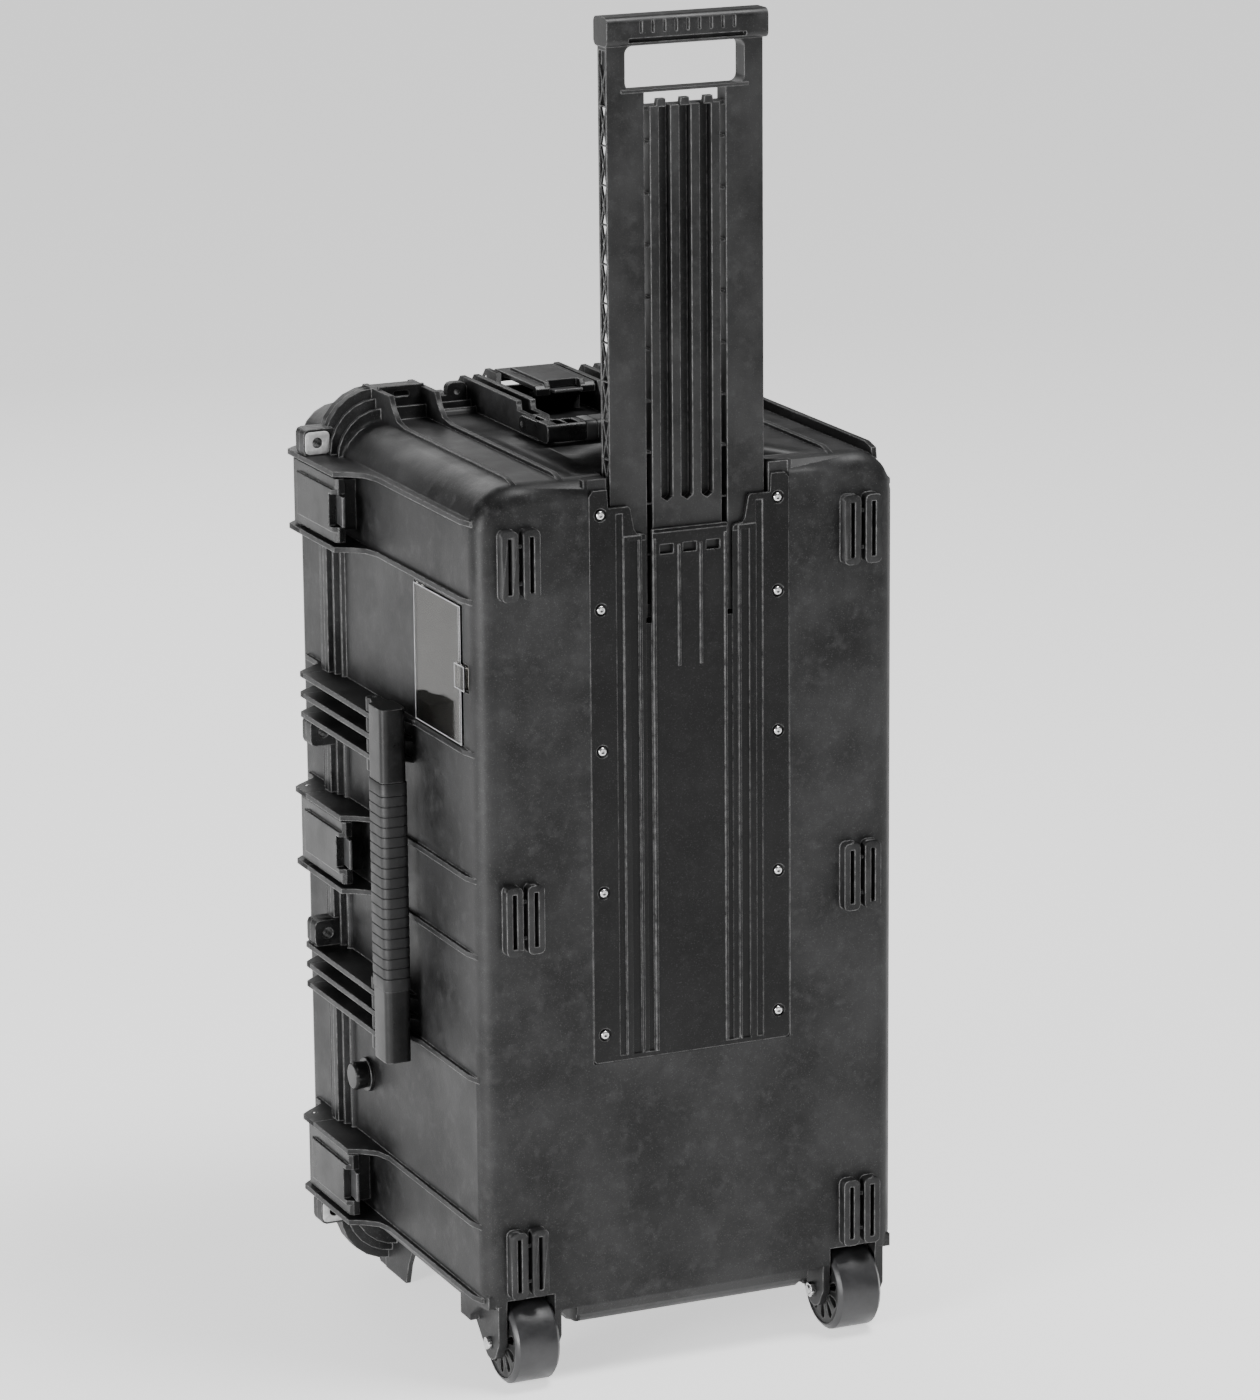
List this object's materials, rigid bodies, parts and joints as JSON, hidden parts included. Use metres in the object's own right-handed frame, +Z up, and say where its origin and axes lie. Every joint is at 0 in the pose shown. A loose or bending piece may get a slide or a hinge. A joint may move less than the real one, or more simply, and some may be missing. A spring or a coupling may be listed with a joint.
{
  "type": "wheeled hard equipment case",
  "caption": "Deep hard-shell equipment case on wheels with a drawn-out trolley handle, hinged lid, latches and fold-flat carry handles.",
  "frame": {"origin": "on the ground, in the middle of the footprint of the standing case", "axes": "+Z up along the case and the trolley handle, +Y towards the lid face, -X towards the latch side and the big carry handle, +X towards the hinges"},
  "size_m": [0.4864, 0.468, 1.249],
  "materials": {
    "case_resin": "black moulded resin, lightly textured",
    "trolley_resin": "black moulded resin, fine texture",
    "latch_resin": "black moulded resin, satin",
    "grip_rubber": "soft black over-moulded grip",
    "seal_rubber": "black seal rubber",
    "wheel_hub": "black moulded hub",
    "wheel_tread": "dark satin polyurethane tread",
    "steel": "bright plated steel",
    "clear_window": "clear plastic"
  },
  "bodies": {
    "case": {"base_shell": "case_resin", "trolley_cover": "trolley_resin", "panel_screw_left_1": "steel", "panel_screw_left_2": "steel", "panel_screw_left_3": "steel", "panel_screw_left_4": "steel", "panel_screw_left_5": "steel", "panel_screw_right_1": "steel", "panel_screw_right_2": "steel", "panel_screw_right_3": "steel", "panel_screw_right_4": "steel", "panel_screw_right_5": "steel", "axle_bolt_left": "steel", "axle_bolt_right": "steel", "axle_nut_left": "steel", "axle_nut_right": "steel", "hinge_pin_upper": "steel", "hinge_pin_middle": "steel", "hinge_pin_lower": "steel", "side_handle_pin_upper": "steel", "side_handle_pin_lower": "steel", "end_handle_pin_left": "steel", "end_handle_pin_right": "steel", "valve_body": "latch_resin", "padlock_plate_base_upper": "steel", "padlock_plate_base_lower": "steel"},
    "lid": {"lid_shell": "case_resin", "lid_gasket": "seal_rubber", "padlock_plate_lid_upper": "steel", "padlock_plate_lid_lower": "steel", "latch_pin_upper": "steel", "latch_pin_middle": "steel", "latch_pin_lower": "steel", "latch_pin_top": "steel", "latch_pin_bottom": "steel"},
    "trolley_handle": {"trolley_handle": "trolley_resin"},
    "wheel_left": {"wheel_hub_left": "wheel_hub", "wheel_tread_left": "wheel_tread"},
    "wheel_right": {"wheel_hub_right": "wheel_hub", "wheel_tread_right": "wheel_tread"},
    "latch_upper": {"latch_arm_upper": "latch_resin"},
    "trigger_upper": {"latch_trigger_upper": "latch_resin"},
    "latch_middle": {"latch_arm_middle": "latch_resin"},
    "trigger_middle": {"latch_trigger_middle": "latch_resin"},
    "latch_lower": {"latch_arm_lower": "latch_resin"},
    "trigger_lower": {"latch_trigger_lower": "latch_resin"},
    "latch_top": {"latch_arm_top": "latch_resin"},
    "trigger_top": {"latch_trigger_top": "latch_resin"},
    "latch_bottom": {"latch_arm_bottom": "latch_resin"},
    "trigger_bottom": {"latch_trigger_bottom": "latch_resin"},
    "side_handle": {"side_handle_frame": "latch_resin", "side_handle_grip": "grip_rubber"},
    "end_handle": {"end_handle_frame": "latch_resin", "end_handle_grip": "grip_rubber"},
    "window": {"label_window": "clear_window", "label_window_clip": "clear_window"},
    "valve_knob": {"valve_knob": "latch_resin"}
  },
  "joints": [
    {"name": "trolley_slide", "type": "slide", "parent": "case", "child": "trolley_handle", "axis": [0, 0, 1], "range_m": [-0.4, 0]},
    {"name": "wheel_spin_left", "type": "hinge", "parent": "case", "child": "wheel_left", "pos_m": [-0.16075, -0.194, 0.04], "axis": [1, 0, 0], "continuous": true},
    {"name": "wheel_spin_right", "type": "hinge", "parent": "case", "child": "wheel_right", "pos_m": [0.16625, -0.194, 0.04], "axis": [1, 0, 0], "continuous": true},
    {"name": "lid_hinge", "type": "hinge", "parent": "case", "child": "lid", "pos_m": [0.23475, 0.136, 0.447], "axis": [0, 0, -1], "range_deg": [0, 100]},
    {"name": "latch_hinge_upper", "type": "hinge", "parent": "lid", "child": "latch_upper", "pos_m": [-0.22475, 0.162, 0.77395], "axis": [0, 0, -1], "range_deg": [0, 100]},
    {"name": "trigger_hinge_upper", "type": "hinge", "parent": "latch_upper", "child": "trigger_upper", "pos_m": [-0.22625, 0.059, 0.77395], "axis": [0, 0, -1], "range_deg": [0, 20], "stiffness_Nm_per_rad": 0.12},
    {"name": "latch_hinge_middle", "type": "hinge", "parent": "lid", "child": "latch_middle", "pos_m": [-0.22475, 0.162, 0.447], "axis": [0, 0, -1], "range_deg": [0, 100]},
    {"name": "trigger_hinge_middle", "type": "hinge", "parent": "latch_middle", "child": "trigger_middle", "pos_m": [-0.22625, 0.059, 0.447], "axis": [0, 0, -1], "range_deg": [0, 20], "stiffness_Nm_per_rad": 0.12},
    {"name": "latch_hinge_lower", "type": "hinge", "parent": "lid", "child": "latch_lower", "pos_m": [-0.22475, 0.162, 0.12005], "axis": [0, 0, -1], "range_deg": [0, 100]},
    {"name": "trigger_hinge_lower", "type": "hinge", "parent": "latch_lower", "child": "trigger_lower", "pos_m": [-0.22625, 0.059, 0.12005], "axis": [0, 0, -1], "range_deg": [0, 20], "stiffness_Nm_per_rad": 0.12},
    {"name": "latch_hinge_top", "type": "hinge", "parent": "lid", "child": "latch_top", "pos_m": [0.00275, 0.162, 0.8625], "axis": [-1, 0, 0], "range_deg": [0, 100]},
    {"name": "trigger_hinge_top", "type": "hinge", "parent": "latch_top", "child": "trigger_top", "pos_m": [0.00275, 0.069, 0.864], "axis": [-1, 0, 0], "range_deg": [0, 20], "stiffness_Nm_per_rad": 0.12},
    {"name": "latch_hinge_bottom", "type": "hinge", "parent": "lid", "child": "latch_bottom", "pos_m": [0.00275, 0.162, 0.0315], "axis": [1, 0, 0], "range_deg": [0, 100]},
    {"name": "trigger_hinge_bottom", "type": "hinge", "parent": "latch_bottom", "child": "trigger_bottom", "pos_m": [0.00275, 0.069, 0.03], "axis": [1, 0, 0], "range_deg": [0, 20], "stiffness_Nm_per_rad": 0.12},
    {"name": "side_handle_hinge", "type": "hinge", "parent": "case", "child": "side_handle", "pos_m": [-0.22825, -0.0245, 0.447], "axis": [0, 0, -1], "range_deg": [0, 90]},
    {"name": "end_handle_hinge", "type": "hinge", "parent": "case", "child": "end_handle", "pos_m": [0.00275, -0.016, 0.8535], "axis": [-1, 0, 0], "range_deg": [0, 90]},
    {"name": "window_hinge", "type": "hinge", "parent": "case", "child": "window", "pos_m": [-0.20415, -0.0713, 0.66675], "axis": [0, 0, -1], "range_deg": [0, 60]},
    {"name": "valve_knob_turn", "type": "hinge", "parent": "case", "child": "valve_knob", "pos_m": [-0.20855, 0.069, 0.222], "axis": [1, 0, 0], "range_deg": [0, 180]}
  ]
}
